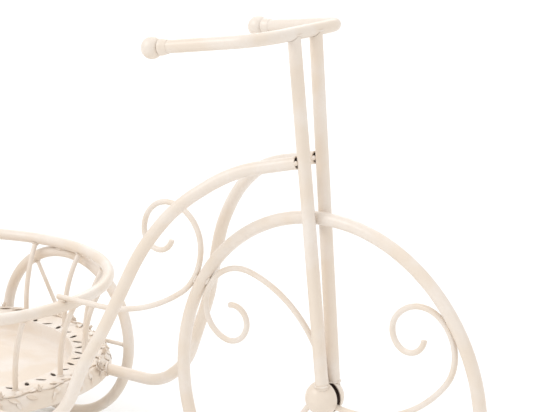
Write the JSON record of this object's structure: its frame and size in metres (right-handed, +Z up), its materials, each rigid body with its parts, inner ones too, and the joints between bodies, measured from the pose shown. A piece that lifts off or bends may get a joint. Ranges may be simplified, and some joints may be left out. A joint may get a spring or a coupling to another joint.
{
  "type": "tricycle plant stand",
  "caption": "Bent-steel plant stand shaped like a tricycle, with a scrolled front wheel, fork with handlebar and a ringed basket tray for one pot between two small rear wheels.",
  "frame": {"origin": "on the floor, under the middle of the stand's length and width", "axes": "+X forward, from the basket to the front wheel; +Z up; the wheels' centre plane is Y = 0"},
  "size_m": [0.8569, 0.3818, 0.506],
  "materials": {
    "cream_paint": "satin"
  },
  "bodies": {
    "root": {"front_rim": "cream_paint", "front_scroll_upper": "cream_paint", "front_scroll_front": "cream_paint", "front_scroll_lower": "cream_paint", "hub_shell_left": "cream_paint", "hub_shell_right": "cream_paint", "fork_leg_left": "cream_paint", "fork_leg_right": "cream_paint", "handlebar": "cream_paint", "grip_ball_left": "cream_paint", "grip_ball_right": "cream_paint", "frame_tube_left": "cream_paint", "frame_tube_right": "cream_paint", "rear_scroll": "cream_paint", "pot_ring": "cream_paint", "basket_bar_01": "cream_paint", "basket_bar_02": "cream_paint", "basket_bar_03": "cream_paint", "basket_bar_04": "cream_paint", "basket_bar_05": "cream_paint", "basket_bar_06": "cream_paint", "basket_bar_07": "cream_paint", "basket_bar_08": "cream_paint", "basket_bar_09": "cream_paint", "basket_bar_10": "cream_paint", "basket_bar_11": "cream_paint", "basket_bar_12": "cream_paint", "basket_bar_13": "cream_paint", "basket_bar_14": "cream_paint", "basket_bar_15": "cream_paint", "basket_bar_16": "cream_paint", "plant_tray": "cream_paint", "tray_roses": "cream_paint", "tray_leaves": "cream_paint", "tray_buds": "cream_paint", "rear_rim_left": "cream_paint", "rear_rim_right": "cream_paint", "rear_spoke_left_1": "cream_paint", "rear_spoke_left_2": "cream_paint", "rear_spoke_left_3": "cream_paint", "rear_spoke_right_1": "cream_paint", "rear_spoke_right_2": "cream_paint", "rear_spoke_right_3": "cream_paint", "rear_boss_left": "cream_paint", "rear_boss_right": "cream_paint"}
  },
  "joints": []
}
